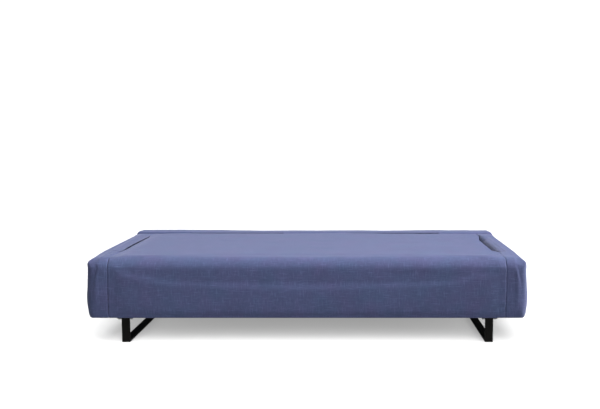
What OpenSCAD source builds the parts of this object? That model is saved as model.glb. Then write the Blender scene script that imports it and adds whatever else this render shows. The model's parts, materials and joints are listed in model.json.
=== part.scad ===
// Sofa bed with four pull-up rests: an upholstered slab on two black sled legs.
// Millimetres. +Z is up, the front faces -Y, and the origin is on the floor under the middle.
// Left and right are as seen from the front.

/* [Body] */
// Overall width of the upholstered body, along X
body_w = 2100; // [2000:10:2300]
// Overall depth of the upholstered body, along Y
body_d = 1000; // [960:10:1100]
// Height of the sleeping surface above the floor
body_h = 415; // [410:1:425]
// Height of the body's lower edge above the floor
leg_h = 125; // [122:1:135]
// Width of the border outside the seam at each end
end_border = 106; // [100:1:112]
// Depth of the border behind the back seam
back_border = 129; // [125:1:140]

/* [Edges] */
// Radius of the waterfall edge along the front
front_r = 75; // [60:1:85]
// Radius of the top edge along each end
end_r = 38; // [30:1:45]
// Radius of the top edge along the back
back_r = 20; // [12:1:24]
// Radius of the upright corners at the front
corner_r = 35; // [25:1:40]

/* [Rests] */
// Width of a rest's pad
pad_w = 460; // [440:5:470]
// Thickness of a rest's pad
pad_t = 28; // [26:1:29]
// Height of a rest's pad
pad_h = 258; // [250:1:260]
// How far a lowered rest stays below the sleeping surface
rest_depth = 24; // [20:1:30]
// Lean of the two back rests, in degrees
back_lean = 10; // [6:1:12]
// Distance of each back rest's middle from the middle of the sofa
back_rest_x = 455; // [440:5:480]

/* [Legs] */
// Width of the flat bar the sleds are made of
strip_w = 38; // [30:1:40]
// Thickness of the same flat bar
strip_t = 10; // [8:1:14]
// Distance from the end of the body to the sled's outer face
sled_inset = 158; // [150:1:165]
// Distance from the front or back of the body to the sled's posts
sled_setback = 35; // [30:1:45]

/* [Hidden] */
$fn = 96;

// Cover and outer body
cover_t = 2;                              // fabric and its backing
far = 3000;                               // past everything, for cutting shapes
seam_x = body_w / 2 - end_border;         // seam between the seat and an end border
seam_y = body_d / 2 - back_border;        // seam between the seat and the back border
back_corner_r = 20;

// Frame of rectangular tube
wall = 2;
rail_w = 30;
rail_h = 40;
rail_top = leg_h + rail_h;
pad_room = 20;                            // padding outside the perimeter rails
rail_x = body_w / 2 - pad_room;           // outer face of the end rails
rail_y = body_d / 2 - pad_room;           // outer face of the front and rear rails
leg_rail_w = 80;
deck_t = 18;
deck_top = rail_top + deck_t;             // what the mattress lies on
slat_rail_y = 285;                        // front face of the rail behind the slats
deck_inner = 820;
deck_outer = seam_x - 8;                  // clear of the slot beside it
deck_back = 325;

// Slats
slat_n = 12;
slat_pitch = 140;
slat_w = 50;
slat_t = 9;
cap_w = 62;
cap_grip = 24;                            // how much of a slat's end sits in its cap

// Mattress
core_top = 355;

// Slots and rests, in a slot's own frame: u along the slot, v across it and outwards, w up the slide
slot_half_u = 267;
slot_half_v = 17;
liner_t = 1;
liner_gap = 0.3;                          // between the liner and the foam round it
liner_lift = 3;                           // a liner ends this far above the deck
rod_u = 250;                              // each guide's distance from the rest's middle
rod_r = 7.5;
rod_wall = 1.5;
bend_r = 20;
bar_drop = 14;                            // from the top of a pad to its bar's centreline
bar_w = -rest_depth - bar_drop;           // height of the top bar's centreline
rod_low = -281;
pad_low = -rest_depth - pad_h;
pad_r = 9;                                // radius along a pad's edges
board_t = 9;
board_gap = 4;                            // padding round the board's edges
stage_r = 10;
stage_wall = 1.3;
stage_low = -284;
stage_top = -67;
sleeve_r = 13;
sleeve_wall = 1.5;
sleeve_low = -287;
sleeve_top = -70;
shaft_low = -330;                         // below every guide, where bores and room for them end
slot_sky = 60;                            // above every cover, where cuts open upwards
bush_l = 20;
collar_t = 3;
run = 0.1;                                // radial running clearance
plunger_w = -100;
plunger_r = 3;
plunger_head_r = 5;
plunger_reach = 20;                       // from a guide's axis to the end of its plunger
plunger_room = 12;
block_w = 32;                             // width of the steel blocks round the guides
block_v = slot_half_v + 2;                // how far an arm's block reaches outwards
brace_z = 322;                            // underside of the braces behind the back rests
brace_y = 468;                            // rear face of the same braces
brace_h = 20;
brace_t = 6;
brace_root_y = 340;
brace_cut_v = -4;                         // braces stop this far inside a guide's axis
guide_block_back = 362;
guide_block_lift = 3;                     // a block clears the rails' lower and upper faces
room = 0.5;                               // space left round hidden hardware

// Legs
foot_t = 2;                               // glides lift the runners this far
plate_t = 6;
plate_x = 74;
plate_y = 90;
plate_lip = 10;                           // how far a plate reaches past the post's outer face
bolt_r = 4;
bolt_x = 28;
bolt_y = 35;
sled_x = body_w / 2 - sled_inset - strip_w / 2;
post_y = body_d / 2 - sled_setback;       // outer faces of the posts
plate_mid_y = post_y + plate_lip - plate_y / 2;
bolt_l = 20;
bolt_head_h = 5.3;
nut_h = 6.5;
nut_r = 7.5;                              // nuts and bolt heads, across their corners
glide_r = 10;
glide_stem_r = 3;
glide_grip = 5;                           // how far a glide's stem stands in the runner
glide_play = 0.5;                         // space left above the stem
glide_inset = 45;                         // from the front of a sled to its first glide
glide_ys = [-post_y + glide_inset, 0, post_y - glide_inset];
cloth_t = 1;

fabric = "#525b86";
foam = "#e8dfb4";
steel = "#17150f";
zinc = "#b9bcc0";
nylon = "#efeeea";
beech = "#d8b88a";

// ---------- small shared shapes ----------

// Rectangle from (x0, y0) to (x1, y1) with its own radius at each corner
module round_rect(x0, y0, x1, y1, low_left, low_right, top_right, top_left) {
    polygon([[x0 + low_left, y0], [x1 - low_right, y0], [x1, y0 + low_right], [x1, y1 - top_right],
        [x1 - top_right, y1], [x0 + top_left, y1], [x0, y1 - top_left], [x0, y0 + low_left]]);
    corners = [[x0 + low_left, y0 + low_left, low_left], [x1 - low_right, y0 + low_right, low_right],
        [x1 - top_right, y1 - top_right, top_right], [x0 + top_left, y1 - top_left, top_left]];
    for (c = corners) if (c[2] > 0) translate([c[0], c[1]]) circle(r = c[2]);
}

// Box between two corners
module span(low, high) translate(low) cube(high - low);

// Rectangular tube between two corners, open at both ends of the axis it runs along
module box_tube(low, high, along) {
    inset = [for (k = [0:2]) k == along ? -1 : wall];
    difference() {
        span(low, high);
        span(low + inset, high - inset);
    }
}

module ring(outer, inner, low, high) {
    translate([0, 0, low]) difference() {
        cylinder(r = outer, h = high - low);
        translate([0, 0, -1]) cylinder(r = inner, h = high - low + 2);
    }
}

// ---------- the upholstered body's outline ----------

// The whole body, drawn in by i on its top and sides
module body_outline(i) {
    intersection() {
        translate([0, 0, leg_h]) linear_extrude(height = far)
            round_rect(-body_w / 2 + i, -body_d / 2 + i, body_w / 2 - i, body_d / 2 - i,
                corner_r - i, corner_r - i, back_corner_r - i, back_corner_r - i);
        rotate([90, 0, 90]) linear_extrude(height = far, center = true)
            round_rect(-body_d / 2 + i, 0, body_d / 2 - i, body_h - i, 0, 0, back_r - i, front_r - i);
        rotate([90, 0, 0]) linear_extrude(height = far, center = true)
            round_rect(-body_w / 2 + i, 0, body_w / 2 - i, body_h - i, 0, 0, end_r - i, end_r - i);
    }
}

module cover_shell() {
    difference() {
        body_outline(0);
        translate([0, 0, -1]) intersection() {
            body_outline(cover_t);
            span([-far, -far, 0], [far, far, far]);
        }
        body_outline(cover_t);
    }
}

// Everything behind the leaning plane through the back seam, between the end seams
module behind_seat() {
    translate([0, seam_y, body_h]) rotate([-back_lean, 0, 0])
        span([-seam_x, 0, -far], [seam_x, far, far]);
}

module back_region() {
    behind_seat();
    for (s = [-1, 1]) translate([s * (seam_x + far / 2), seam_y + far / 2, 0])
        cube([far, far, far], center = true);
}

module seat_region() {
    difference() {
        span([-seam_x, -far, 0], [seam_x, far, far]);
        behind_seat();
    }
}

module end_region(side) {
    difference() {
        translate([side * (seam_x + far / 2), 0, 0]) cube([far, far, far], center = true);
        span([-far, seam_y, -far], [far, far, far]);
    }
}

// Inside of the perimeter frame, which border foam stays out of
module frame_room() span([-rail_x, -rail_y, 0], [rail_x, rail_y, rail_top]);

// ---------- slots: where each rest goes ----------

module at_left_arm() translate([-(seam_x + slot_half_v), 0, body_h]) rotate([0, 0, 90]) children();
module at_right_arm() translate([seam_x + slot_half_v, 0, body_h]) rotate([0, 0, -90]) children();
module at_back(side) {
    translate([side * back_rest_x, seam_y + slot_half_v / cos(back_lean), body_h])
        rotate([-back_lean, 0, 0]) children();
}
module at_each() {
    at_left_arm() children();
    at_right_arm() children();
    for (s = [-1, 1]) at_back(s) children();
}
module both_rods() for (s = [-1, 1]) translate([s * rod_u, 0, 0]) children();

// Room for a rest, its guides and their plungers
module slot_room() {
    span([-slot_half_u, -slot_half_v, shaft_low], [slot_half_u, slot_half_v, slot_sky]);
    reach = plunger_reach + room;
    for (s = [-1, 1]) translate([s * (rod_u + reach / 2), 0, plunger_w])
        cube([reach, plunger_room, plunger_room], center = true);
}

// Room for the uprights that hold an arm's guides
module upright_room() {
    both_rods() span([-block_w / 2 - room, 0, shaft_low],
        [block_w / 2 + room, block_v + room, sleeve_top + room]);
}

// Room for the braces that hold a back rest's guides
module brace_room(grow) {
    half = block_w / 2 + grow;
    top = brace_z + brace_h + grow;
    for (side = [-1, 1], s = [-1, 1]) translate([side * back_rest_x + s * rod_u, 0, 0]) {
        span([-half, brace_root_y, brace_z - grow], [half, brace_y + grow, top]);
        span([-half, brace_y - brace_t - grow, rail_top - grow], [half, brace_y + grow, top]);
    }
}

module all_slot_rooms() {
    at_each() slot_room();
    at_left_arm() upright_room();
    at_right_arm() upright_room();
}

// ---------- welded frame ----------

module front_rail() {
    color(steel) difference() {
        box_tube([-rail_x, -rail_y, leg_h], [rail_x, -rail_y + rail_w, rail_top], 0);
        bolt_holes();
    }
}

module rear_rail() {
    color(steel) difference() {
        box_tube([-rail_x, rail_y - rail_w, leg_h], [rail_x, rail_y, rail_top], 0);
        bolt_holes();
    }
}

module end_rails() {
    color(steel) for (s = [-1, 1]) translate([s * (rail_x - rail_w / 2), 0, 0])
        box_tube([-rail_w / 2, -rail_y + rail_w, leg_h], [rail_w / 2, rail_y - rail_w, rail_top], 1);
}

module bolt_places() {
    for (sx = [-1, 1], sy = [-1, 1], bx = [-1, 1], by = [-1, 1])
        translate([sx * sled_x + bx * bolt_x, sy * plate_mid_y + by * bolt_y, 0]) children();
}

// Clearance holes through a rail's lower wall
module bolt_holes() {
    bolt_places() translate([0, 0, leg_h - 1]) cylinder(r = bolt_r + 0.2, h = wall + 2);
}

module leg_rails() {
    color(steel) difference() {
        for (s = [-1, 1]) translate([s * sled_x, 0, 0])
            box_tube([-leg_rail_w / 2, -rail_y + rail_w, leg_h],
                [leg_rail_w / 2, rail_y - rail_w, rail_top], 1);
        bolt_holes();
    }
}

module slat_rear_rail() {
    reach = sled_x - leg_rail_w / 2;
    color(steel) box_tube([-reach, slat_rail_y, leg_h], [reach, slat_rail_y + rail_w, rail_top], 0);
}

module center_rail() {
    color(steel) box_tube([-rail_w / 2, -rail_y + rail_w, leg_h],
        [rail_w / 2, slat_rail_y, rail_top], 1);
}

// ---------- rest guides fixed to the frame ----------

module sleeve_bore() translate([0, 0, shaft_low]) cylinder(r = sleeve_r, h = -shaft_low);

module arm_upright() {
    end_gap = rail_x - rail_w - seam_x - slot_half_v;
    difference() {
        union() {
            span([-block_w / 2, sleeve_r - 1, leg_h - body_h], [block_w / 2, block_v, sleeve_top]);
            span([-block_w / 2, sleeve_r - 1, leg_h - body_h], [block_w / 2, end_gap, rail_top - body_h]);
        }
        sleeve_bore();
    }
}

module arm_guide_uprights() {
    color(steel) {
        at_left_arm() both_rods() arm_upright();
        at_right_arm() both_rods() arm_upright();
    }
}

module back_guide_blocks() {
    color(steel) for (side = [-1, 1], s = [-1, 1]) difference() {
        translate([side * back_rest_x + s * rod_u, 0, 0])
            span([-block_w / 2, slat_rail_y + rail_w, leg_h + guide_block_lift],
                [block_w / 2, guide_block_back, rail_top - guide_block_lift]);
        at_back(side) translate([s * rod_u, 0, 0]) sleeve_bore();
    }
}

module back_guide_braces() {
    color(steel) difference() {
        brace_room(0);
        for (side = [-1, 1]) at_back(side) {
            both_rods() sleeve_bore();
            span([-far, -far, shaft_low], [far, brace_cut_v, slot_sky]);
        }
    }
}

module guide_sleeves() {
    color(zinc) at_each() for (s = [-1, 1]) difference() {
        translate([s * rod_u, 0, 0]) ring(sleeve_r, sleeve_r - sleeve_wall, sleeve_low, sleeve_top);
        translate([s * rod_u, 0, plunger_w]) rotate([0, s * 90, 0])
            cylinder(r = plunger_r, h = plunger_reach);
    }
}

module sleeve_bushes() {
    color(nylon) at_each() both_rods() {
        ring(sleeve_r - sleeve_wall, stage_r + run, sleeve_top - bush_l, sleeve_top);
        ring(sleeve_r, stage_r + run, sleeve_top, sleeve_top + collar_t);
    }
}

// Sealed spring plungers that press on the stage tubes and hold a rest where it is left
module friction_plungers() {
    color(zinc) at_each() for (s = [-1, 1]) translate([s * rod_u, 0, plunger_w]) rotate([0, s * 90, 0]) {
        pin_low = stage_r + run / 2;
        translate([0, 0, pin_low]) cylinder(r = plunger_r, h = plunger_reach - pin_low);
        translate([0, 0, sleeve_r + 1]) cylinder(r = plunger_head_r, h = plunger_head_r, $fn = 6);
    }
}

// ---------- slats and decks ----------

module slat_rows() {
    for (k = [0:slat_n - 1]) translate([(k - (slat_n - 1) / 2) * slat_pitch, 0, 0]) children();
}

module slat() {
    span([-slat_w / 2, -rail_y + rail_w - cap_grip, deck_top - slat_t],
        [slat_w / 2, slat_rail_y + cap_grip, deck_top]);
}

module slats() color(beech) slat_rows() slat();

module slat_caps() {
    color(steel) slat_rows() for (low_y = [-rail_y, slat_rail_y]) difference() {
        span([-cap_w / 2, low_y, rail_top], [cap_w / 2, low_y + rail_w, deck_top]);
        slat();
    }
}

module deck_boards() {
    color(beech) for (s = [-1, 1]) translate([s * (deck_inner + deck_outer) / 2, 0, 0])
        span([-(deck_outer - deck_inner) / 2, -rail_y + rail_w, rail_top],
            [(deck_outer - deck_inner) / 2, deck_back, deck_top]);
}

// ---------- legs ----------

// Flat-bar runner with a post at each end
module sled() {
    half = strip_w / 2;
    difference() {
        union() {
            span([-half, -post_y, foot_t], [half, post_y, foot_t + strip_t]);
            for (s = [-1, 1]) translate([0, s * (post_y - strip_t / 2), 0])
                span([-half, -strip_t / 2, foot_t], [half, strip_t / 2, leg_h - plate_t]);
        }
        for (y = glide_ys) translate([0, y, 0])
            cylinder(r = glide_stem_r, h = foot_t + glide_grip + glide_play);
    }
}

module left_sled() color(steel) translate([-sled_x, 0, 0]) sled();
module right_sled() color(steel) translate([sled_x, 0, 0]) sled();

module leg_plates() {
    color(steel) difference() {
        for (sx = [-1, 1], sy = [-1, 1]) translate([sx * sled_x, sy * plate_mid_y, leg_h - plate_t / 2])
            cube([plate_x, plate_y, plate_t], center = true);
        bolt_places() translate([0, 0, leg_h - plate_t - 1]) cylinder(r = bolt_r + 0.4, h = plate_t + 2);
    }
}

module leg_bolts() {
    color(zinc) bolt_places() {
        translate([0, 0, leg_h - plate_t]) cylinder(r = bolt_r, h = bolt_l);
        translate([0, 0, leg_h - plate_t - bolt_head_h]) cylinder(r = nut_r, h = bolt_head_h, $fn = 6);
    }
}

module leg_nuts() {
    color(zinc) bolt_places() translate([0, 0, leg_h + wall]) difference() {
        cylinder(r = nut_r, h = nut_h, $fn = 6);
        translate([0, 0, -1]) cylinder(r = bolt_r, h = nut_h + 2);
    }
}

module foot_glides() {
    color(nylon) for (s = [-1, 1], y = glide_ys) translate([s * sled_x, y, 0]) {
        cylinder(r = glide_r, h = foot_t);
        cylinder(r = glide_stem_r, h = foot_t + glide_grip);
    }
}

// ---------- soft parts ----------

module bottom_cloth() {
    color(steel) difference() {
        span([-rail_x, -rail_y, leg_h - cloth_t], [rail_x, rail_y, leg_h]);
        for (sx = [-1, 1], sy = [-1, 1]) translate([sx * sled_x, sy * plate_mid_y, leg_h])
            cube([plate_x + 2, plate_y + 2, 4 * cloth_t], center = true);
    }
}

module seat_foam(low, high) {
    intersection() {
        body_outline(cover_t);
        seat_region();
        span([-far, -far, low], [far, far, high]);
    }
}

module mattress_core() color(foam) seat_foam(deck_top, core_top);
module mattress_topper() color(foam) seat_foam(core_top, far);

module front_apron_foam() {
    color(foam) intersection() {
        seat_foam(leg_h, deck_top);
        span([-far, -far, 0], [far, -rail_y, far]);
    }
}

module end_border_foam(side) {
    color(foam) difference() {
        intersection() {
            body_outline(cover_t);
            end_region(side);
        }
        frame_room();
        all_slot_rooms();
    }
}

module left_border_foam() end_border_foam(-1);
module right_border_foam() end_border_foam(1);

module back_border_foam() {
    color(foam) difference() {
        intersection() {
            body_outline(cover_t);
            back_region();
        }
        frame_room();
        all_slot_rooms();
        brace_room(room);
    }
}

module seat_cover() {
    color(fabric) intersection() {
        cover_shell();
        seat_region();
    }
}

module end_border_cover(side) {
    color(fabric) difference() {
        intersection() {
            cover_shell();
            end_region(side);
        }
        all_slot_rooms();
    }
}

module left_border_cover() end_border_cover(-1);
module right_border_cover() end_border_cover(1);

module back_border_cover() {
    color(fabric) difference() {
        intersection() {
            cover_shell();
            back_region();
        }
        at_each() slot_room();
    }
}

// Fabric sleeve that lines a slot
module slot_liner() {
    low = deck_top - body_h + liner_lift;
    half_u = slot_half_u - liner_gap;
    half_v = slot_half_v - liner_gap;
    difference() {
        span([-half_u, -half_v, low], [half_u, half_v, -cover_t]);
        span([-half_u + liner_t, -half_v + liner_t, low - 1], [half_u - liner_t, half_v - liner_t, 1]);
        for (s = [-1, 1]) translate([s * rod_u, 0, plunger_w])
            cube([3 * plunger_reach, plunger_room, plunger_room], center = true);
    }
}

module left_slot_liner() color(fabric) at_left_arm() difference() {
    slot_liner();
    upright_room();
}
module right_slot_liner() color(fabric) at_right_arm() difference() {
    slot_liner();
    upright_room();
}
module back_slot_liners() color(fabric) difference() {
    intersection() {
        for (s = [-1, 1]) at_back(s) slot_liner();
        span([-far, -far, 0], [far, far, body_h - cover_t]);
    }
    brace_room(room);
}

// ---------- rests ----------

// The bent tube, at radius r, whole or as the bore inside it
module rest_loop(r, low) {
    for (s = [-1, 1]) {
        translate([s * rod_u, 0, low]) cylinder(r = r, h = bar_w - bend_r - low);
        translate([s * (rod_u - bend_r), 0, bar_w - bend_r]) rotate([90, s > 0 ? 0 : -90, 0])
            rotate_extrude(angle = 90) translate([bend_r, 0]) circle(r = r);
    }
    span_u = rod_u - bend_r;
    translate([-span_u, 0, bar_w]) rotate([0, 90, 0]) cylinder(r = r, h = 2 * span_u);
}

module rest_frame() {
    color(steel) difference() {
        rest_loop(rod_r, rod_low);
        rest_loop(rod_r - rod_wall, rod_low - 1);
    }
}

module board_blank() {
    half = pad_w / 2 - board_gap;
    span([-half, -board_t / 2, pad_low + board_gap], [half, board_t / 2, bar_w - board_gap]);
}

module rest_board() {
    color(beech) difference() {
        board_blank();
        translate([-far, 0, bar_w]) rotate([0, 90, 0]) cylinder(r = rod_r, h = 2 * far);
    }
}

module rest_pad() {
    half = pad_w / 2;
    color(fabric) difference() {
        intersection() {
            rotate([90, 0, 90]) linear_extrude(height = pad_w, center = true)
                round_rect(-pad_t / 2, pad_low, pad_t / 2, -rest_depth, pad_r, pad_r, pad_r, pad_r);
            rotate([90, 0, 0]) linear_extrude(height = pad_t, center = true)
                round_rect(-half, pad_low, half, -rest_depth, pad_r, pad_r, pad_r, pad_r);
        }
        board_blank();
        translate([-far, 0, bar_w]) rotate([0, 90, 0]) cylinder(r = rod_r, h = 2 * far);
    }
}

module rod_feet() color(nylon) both_rods() ring(stage_r - stage_wall - run, rod_r, rod_low, rod_low + bush_l);

module stage_tubes() color(zinc) both_rods() ring(stage_r, stage_r - stage_wall, stage_low, stage_top);

module stage_bushes() {
    color(nylon) both_rods() {
        ring(stage_r - stage_wall, rod_r + run, stage_top - bush_l, stage_top);
        ring(stage_r + 2, rod_r + run, stage_top, stage_top + collar_t);
        ring(sleeve_r - sleeve_wall - run, stage_r, stage_low, stage_low + bush_l);
    }
}

front_rail();
rear_rail();
end_rails();
leg_rails();
slat_rear_rail();
center_rail();
arm_guide_uprights();
back_guide_blocks();
back_guide_braces();
guide_sleeves();
sleeve_bushes();
friction_plungers();
slats();
slat_caps();
deck_boards();
left_sled();
right_sled();
leg_plates();
leg_bolts();
leg_nuts();
foot_glides();
bottom_cloth();
mattress_core();
mattress_topper();
front_apron_foam();
left_border_foam();
right_border_foam();
back_border_foam();
seat_cover();
left_border_cover();
right_border_cover();
back_border_cover();
left_slot_liner();
right_slot_liner();
back_slot_liners();
at_left_arm() rest_frame();  // left_arm_frame
at_left_arm() rest_board();  // left_arm_board
at_left_arm() rest_pad();  // left_arm_pad
at_left_arm() rod_feet();  // left_arm_rod_feet
at_left_arm() stage_tubes();  // left_arm_stage_tubes
at_left_arm() stage_bushes();  // left_arm_stage_bushes
at_right_arm() rest_frame();  // right_arm_frame
at_right_arm() rest_board();  // right_arm_board
at_right_arm() rest_pad();  // right_arm_pad
at_right_arm() rod_feet();  // right_arm_rod_feet
at_right_arm() stage_tubes();  // right_arm_stage_tubes
at_right_arm() stage_bushes();  // right_arm_stage_bushes
at_back(-1) rest_frame();  // left_back_frame
at_back(-1) rest_board();  // left_back_board
at_back(-1) rest_pad();  // left_back_pad
at_back(-1) rod_feet();  // left_back_rod_feet
at_back(-1) stage_tubes();  // left_back_stage_tubes
at_back(-1) stage_bushes();  // left_back_stage_bushes
at_back(1) rest_frame();  // right_back_frame
at_back(1) rest_board();  // right_back_board
at_back(1) rest_pad();  // right_back_pad
at_back(1) rod_feet();  // right_back_rod_feet
at_back(1) stage_tubes();  // right_back_stage_tubes
at_back(1) stage_bushes();  // right_back_stage_bushes
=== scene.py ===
"""The looks of a sofa bed lying flat as a bed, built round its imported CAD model.

Metres, in the model's own frame: +X to the right, the front faces -Y, +Z up.
"""

import json
import math

import bpy
import numpy as np
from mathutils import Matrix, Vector
from mathutils.bvhtree import BVHTree

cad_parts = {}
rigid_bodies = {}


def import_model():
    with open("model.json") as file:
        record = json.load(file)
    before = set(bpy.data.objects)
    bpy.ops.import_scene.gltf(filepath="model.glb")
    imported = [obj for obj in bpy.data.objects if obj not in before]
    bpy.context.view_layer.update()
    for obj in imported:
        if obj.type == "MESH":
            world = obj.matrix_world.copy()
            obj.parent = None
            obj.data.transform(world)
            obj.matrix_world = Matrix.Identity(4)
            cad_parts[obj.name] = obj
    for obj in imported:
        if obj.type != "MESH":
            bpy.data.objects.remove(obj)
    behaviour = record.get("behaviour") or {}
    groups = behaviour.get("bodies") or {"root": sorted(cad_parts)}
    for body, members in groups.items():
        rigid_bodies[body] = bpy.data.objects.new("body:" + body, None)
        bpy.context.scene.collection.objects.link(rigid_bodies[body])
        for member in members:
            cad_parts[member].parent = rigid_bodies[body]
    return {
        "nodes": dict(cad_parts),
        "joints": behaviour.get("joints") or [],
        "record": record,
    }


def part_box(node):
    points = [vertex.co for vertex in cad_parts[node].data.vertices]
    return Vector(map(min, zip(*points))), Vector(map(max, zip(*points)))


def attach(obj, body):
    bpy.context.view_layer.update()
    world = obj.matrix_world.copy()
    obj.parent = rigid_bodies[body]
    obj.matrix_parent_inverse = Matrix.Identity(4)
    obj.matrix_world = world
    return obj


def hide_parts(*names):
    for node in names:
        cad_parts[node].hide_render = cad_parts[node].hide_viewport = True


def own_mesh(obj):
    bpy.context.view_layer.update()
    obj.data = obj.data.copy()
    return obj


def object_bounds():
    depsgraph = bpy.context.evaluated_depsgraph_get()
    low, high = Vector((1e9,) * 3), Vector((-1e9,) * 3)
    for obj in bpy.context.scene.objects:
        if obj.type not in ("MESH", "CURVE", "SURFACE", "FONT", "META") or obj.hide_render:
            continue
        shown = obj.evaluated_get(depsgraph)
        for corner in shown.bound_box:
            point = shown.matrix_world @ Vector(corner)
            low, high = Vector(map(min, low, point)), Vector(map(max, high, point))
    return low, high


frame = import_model()
cad_low, cad_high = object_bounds()

# ---------- places, all from the frame ----------

SEAT_LOW, SEAT_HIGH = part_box("seat_cover")
HALF_W = cad_high.x
HALF_D = cad_high.y
TOP = SEAT_HIGH.z
BASE = SEAT_LOW.z
SEAM_X = SEAT_HIGH.x                        # seams between the seat and the end borders
SEAM_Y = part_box("left_border_cover")[1].y   # seam between the seat and the back border
DECK_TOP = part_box("deck_boards")[1].z       # what the mattress lies on
RAIL_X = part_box("end_rails")[1].x           # outer faces of the frame, and its top
RAIL_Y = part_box("rear_rail")[1].y
RAIL_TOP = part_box("front_rail")[1].z
PAD_LOW, PAD_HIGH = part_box("right_arm_pad")
PAD_HALF_U = PAD_HIGH.y
PAD_HALF_V = (PAD_HIGH.x - PAD_LOW.x) / 2
SLOT_HALF_V = (PAD_HIGH.x + PAD_LOW.x) / 2 - SEAM_X
SLOT_HALF_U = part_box("right_slot_liner")[1].y + 0.0003
SLOT_W = 2 * SLOT_HALF_V

JOINT_AXIS = {j["name"]: Vector(j["axis"]) for j in frame["joints"]}
BACK_AXIS = JOINT_AXIS["right_back_lift"]
LEAN = math.atan2(BACK_AXIS.y, BACK_AXIS.z)
_back_low, _back_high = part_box("right_back_pad")
BACK_REST_X = (_back_low.x + _back_high.x) / 2


class Rest:
    """One pull-up rest's slot frame: u along the slot, v across it and outwards, w up the slide."""

    def __init__(self, name, outward, origin):
        self.name = name
        self.w = JOINT_AXIS[name + "_lift"]
        self.v = Vector(outward)
        self.u = self.v.cross(self.w)
        self.origin = Vector(origin)

    def world(self, local):
        return np.array(self.origin) + local @ np.array([self.u, self.v, self.w])


BACK_OUT = (0, BACK_AXIS.z, -BACK_AXIS.y)
BACK_MID_Y = SEAM_Y + SLOT_HALF_V / math.cos(LEAN)
RESTS = {
    "left_arm": Rest("left_arm", (-1, 0, 0), (-SEAM_X - SLOT_HALF_V, 0, TOP)),
    "right_arm": Rest("right_arm", (1, 0, 0), (SEAM_X + SLOT_HALF_V, 0, TOP)),
    "left_back": Rest("left_back", BACK_OUT, (-BACK_REST_X, BACK_MID_Y, TOP)),
    "right_back": Rest("right_back", BACK_OUT, (BACK_REST_X, BACK_MID_Y, TOP)),
}

# Edge radii of the upholstered body
FRONT_R = 0.060
END_R = 0.038                               # edges along the ends' tops: near the front, then left and right
LEFT_R = 0.018
RIGHT_R = 0.028
BACK_R = 0.020
CORNER_R = 0.035
BACK_CORNER_R = 0.020
HEM_R = 0.007                               # where the covers turn under
END_DRAW = 0.0075                           # how far the cover draws the ends in

# ---------- noise ----------

_table = np.random.default_rng(7).uniform(-1, 1, (256, 256))


def noise2(a, b):
    """Smooth value noise from -1 to 1 with cells of size 1."""
    ia, ib = np.floor(a).astype(int), np.floor(b).astype(int)
    fa, fb = a - ia, b - ib
    fa, fb = fa * fa * (3 - 2 * fa), fb * fb * (3 - 2 * fb)
    low = _table[ia % 256, ib % 256] * (1 - fa) + _table[(ia + 1) % 256, ib % 256] * fa
    high = _table[ia % 256, (ib + 1) % 256] * (1 - fa) + _table[(ia + 1) % 256, (ib + 1) % 256] * fa
    return low * (1 - fb) + high * fb


def rough2(a, b, octaves=3):
    """Noise with finer and weaker octaves added."""
    total = np.zeros_like(a)
    for k in range(octaves):
        total += noise2(a * 2**k + 17.3 * k, b * 2**k - 9.1 * k) * 0.5**k
    return total


def ease(low, high, value):
    """0 at low, 1 at high and smooth between; low may be the larger."""
    t = np.clip((value - low) / (high - low), 0, 1)
    return t * t * (3 - 2 * t)


# ---------- distance fields of the body ----------


def smax(a, b, k):
    """The larger of two distances, with the edge between them rounded over about k."""
    h = np.clip(0.5 + 0.5 * (a - b) / k, 0, 1)
    return b + (a - b) * h + k * h * (1 - h)


def round_rect(a, b, low_a, high_a, low_b, high_b, radii):
    """Distance to a rectangle. radii: (low a, low b), (high a, low b), (high a, high b), (low a, high b)."""
    mid_a, mid_b = (low_a + high_a) / 2, (low_b + high_b) / 2
    half_a, half_b = (high_a - low_a) / 2, (high_b - low_b) / 2
    pa, pb = a - mid_a, b - mid_b
    r = np.where(
        pa < 0,
        np.where(pb < 0, radii[0], radii[3]),
        np.where(pb < 0, radii[1], radii[2]),
    )
    qa, qb = np.abs(pa) - half_a + r, np.abs(pb) - half_b + r
    outside = np.hypot(np.maximum(qa, 0), np.maximum(qb, 0))
    return outside + np.minimum(np.maximum(qa, qb), 0) - r


def swell(z, full, tuck):
    """How far an upright face stands out at height z: fullest at mid height, tucked in at the hem."""
    t = np.clip((z - BASE) / (TOP - BASE), 0, 1)
    return full * np.sin(math.pi * t**0.75) - tuck * (1 - t) ** 7


def body_distance(x, y, z):
    """Distance to the whole upholstered body."""
    xs = x - np.sign(x) * (swell(z, 0.008, 0.002) - END_DRAW)
    ys = y - np.sign(y) * swell(z, 0.0015, 0.005)
    end_r = np.where(x < 0, LEFT_R, RIGHT_R)
    end_r = end_r + (END_R - end_r) * ease(-HALF_D + 0.26, -HALF_D + 0.02, y)
    plan = round_rect(xs, ys, -HALF_W, HALF_W, -HALF_D, HALF_D,
                      (CORNER_R, CORNER_R, BACK_CORNER_R, BACK_CORNER_R))
    side = round_rect(ys, z, -HALF_D, HALF_D, BASE, TOP, (HEM_R, HEM_R, BACK_R, FRONT_R))
    front = round_rect(xs, z, -HALF_W, HALF_W, BASE, TOP, (HEM_R, HEM_R, end_r, end_r))
    return smax(smax(plan, side, 0.004), front, 0.004)


# ---------- covers as closed grids pushed onto their field ----------


def spaced(low, high, fine, coarse, reach):
    """Places from low to high, close together near both ends and wider in the middle."""
    steps, at = [], 0.0
    half = (high - low) / 2
    while at < half:
        share = min(at / reach, 1.0)
        step = fine + (coarse - fine) * share
        steps.append(step)
        at += step
    one = np.cumsum([0.0] + steps)
    one *= half / one[-1]
    return np.concatenate([low + one, (high - one[:-1])[::-1]])


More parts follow.
